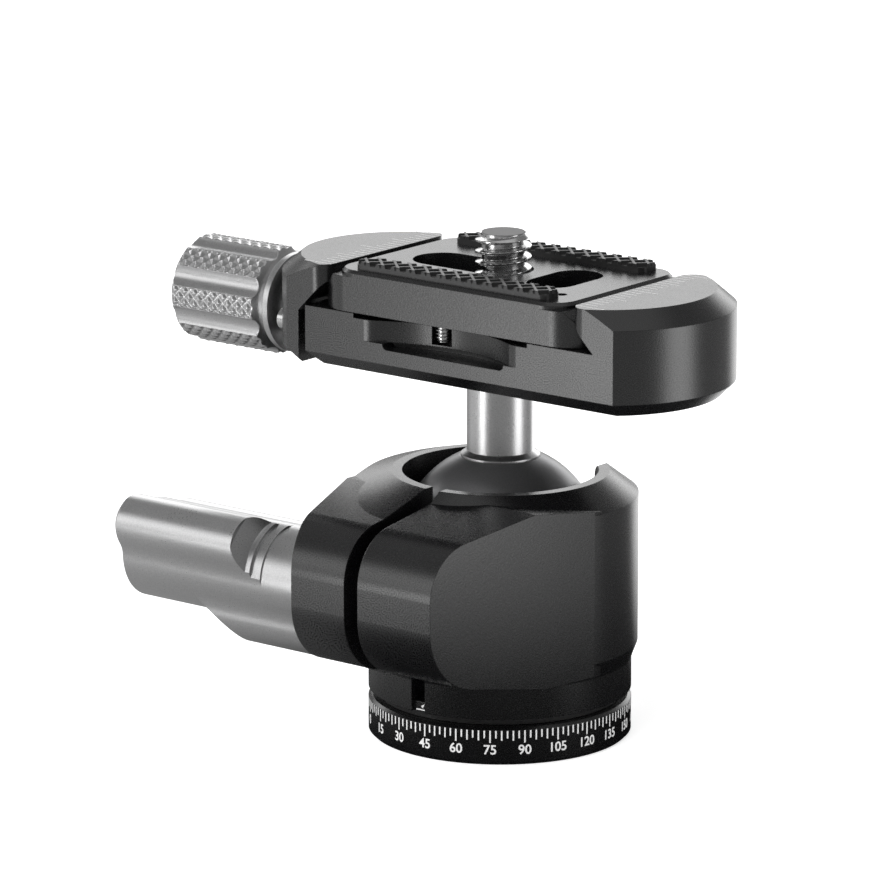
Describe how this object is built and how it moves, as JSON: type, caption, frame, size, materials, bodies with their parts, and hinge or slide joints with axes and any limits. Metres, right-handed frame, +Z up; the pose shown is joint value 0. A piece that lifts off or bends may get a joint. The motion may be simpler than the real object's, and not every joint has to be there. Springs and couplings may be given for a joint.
{
  "type": "tripod ball head",
  "caption": "Compact tripod ball head with a split housing, one lock knob, a panning base with a degree scale and a dovetail quick-release clamp holding its plate.",
  "frame": {"origin": "centre of the base's bottom face, on the pan axis, at the mouth of the tripod socket", "axes": "+Z up along the pan axis; -X towards the lock knob and the clamp knob; -Y towards the ear with the slit, +Y towards the drop notch"},
  "size_m": [0.0732, 0.0426, 0.058],
  "materials": {
    "black_anodised": "satin black anodised",
    "ball_dark": "dark satin, hard anodised",
    "silver_satin": "bead-blasted silver anodised",
    "steel": "bright turned steel",
    "spring_steel": "plain spring steel",
    "dark_steel": "blackened steel",
    "rubber": "moulded matt rubber",
    "liner_polymer": "low-friction polymer",
    "washer_polymer": "black low-friction polymer"
  },
  "bodies": {
    "base": {"base_dial": "black_anodised", "pan_spindle": "silver_satin", "dial_screws": "dark_steel", "pan_washer": "washer_polymer"},
    "body": {"housing": "black_anodised", "spindle_ring": "spring_steel", "seat_spring": "spring_steel", "seat_carrier": "silver_satin"},
    "lock_follower": {"lock_washer": "washer_polymer"},
    "lock": {"lock_knob": "silver_satin", "lock_stud": "steel"},
    "cradle": {"ball_liner": "liner_polymer"},
    "ball_and_stem": {"ball": "ball_dark", "stem": "silver_satin"},
    "clamp": {"clamp_bar": "black_anodised", "clamp_bolt": "dark_steel", "jaw_pins": "steel"},
    "jaw": {"movable_jaw": "black_anodised", "knob_washer": "washer_polymer"},
    "jaw_screw": {"clamp_knob": "silver_satin", "traction_screw": "steel"},
    "plate": {"qr_plate": "black_anodised", "front_strip": "rubber", "rear_strip": "rubber", "stop_screw": "steel"},
    "screw_carriage": {"screw_ring": "spring_steel"},
    "screw": {"camera_screw": "steel"}
  },
  "joints": [
    {"name": "pan", "type": "hinge", "parent": "base", "child": "body", "pos_m": [0, 0, 0], "axis": [0, 0, 1], "continuous": true},
    {"name": "lock_travel", "type": "slide", "parent": "body", "child": "lock_follower", "axis": [-1, 0, 0], "range_m": [0, 0.0012]},
    {"name": "lock_turn", "type": "hinge", "parent": "lock_follower", "child": "lock", "pos_m": [-0.02, -0.0185, 0.0195], "axis": [-1, 0, 0], "range_deg": [0, 360]},
    {"name": "side_tilt", "type": "hinge", "parent": "body", "child": "cradle", "pos_m": [0, 0, 0.0218], "axis": [0, 1, 0], "range_deg": [-10, 25]},
    {"name": "drop", "type": "hinge", "parent": "cradle", "child": "ball_and_stem", "pos_m": [0, 0, 0.0218], "axis": [-1, 0, 0], "range_deg": [-12, 90]},
    {"name": "spin", "type": "hinge", "parent": "ball_and_stem", "child": "clamp", "pos_m": [0, 0, 0.0218], "axis": [0, 0, 1], "continuous": true},
    {"name": "jaw_slide", "type": "slide", "parent": "clamp", "child": "jaw", "axis": [-1, 0, 0], "range_m": [0, 0.0028]},
    {"name": "clamp_knob_turn", "type": "hinge", "parent": "jaw", "child": "jaw_screw", "pos_m": [-0.028, 0, 0.0458], "axis": [-1, 0, 0], "range_deg": [0, 1440]},
    {"name": "plate_slide", "type": "slide", "parent": "clamp", "child": "plate", "axis": [0, -1, 0], "range_m": [0, 0.0224]},
    {"name": "screw_slide", "type": "slide", "parent": "plate", "child": "screw_carriage", "axis": [-1, 0, 0], "range_m": [0, 0.0086]},
    {"name": "camera_screw_turn", "type": "hinge", "parent": "screw_carriage", "child": "screw", "pos_m": [0.00035, 0, 0.05], "axis": [0, 0, 1], "continuous": true}
  ],
  "couplings": [
    {"joint": "lock_travel", "follows": "lock_turn", "m_per_rad": 0.00015915},
    {"joint": "jaw_slide", "follows": "clamp_knob_turn", "m_per_rad": 0.00011141}
  ]
}
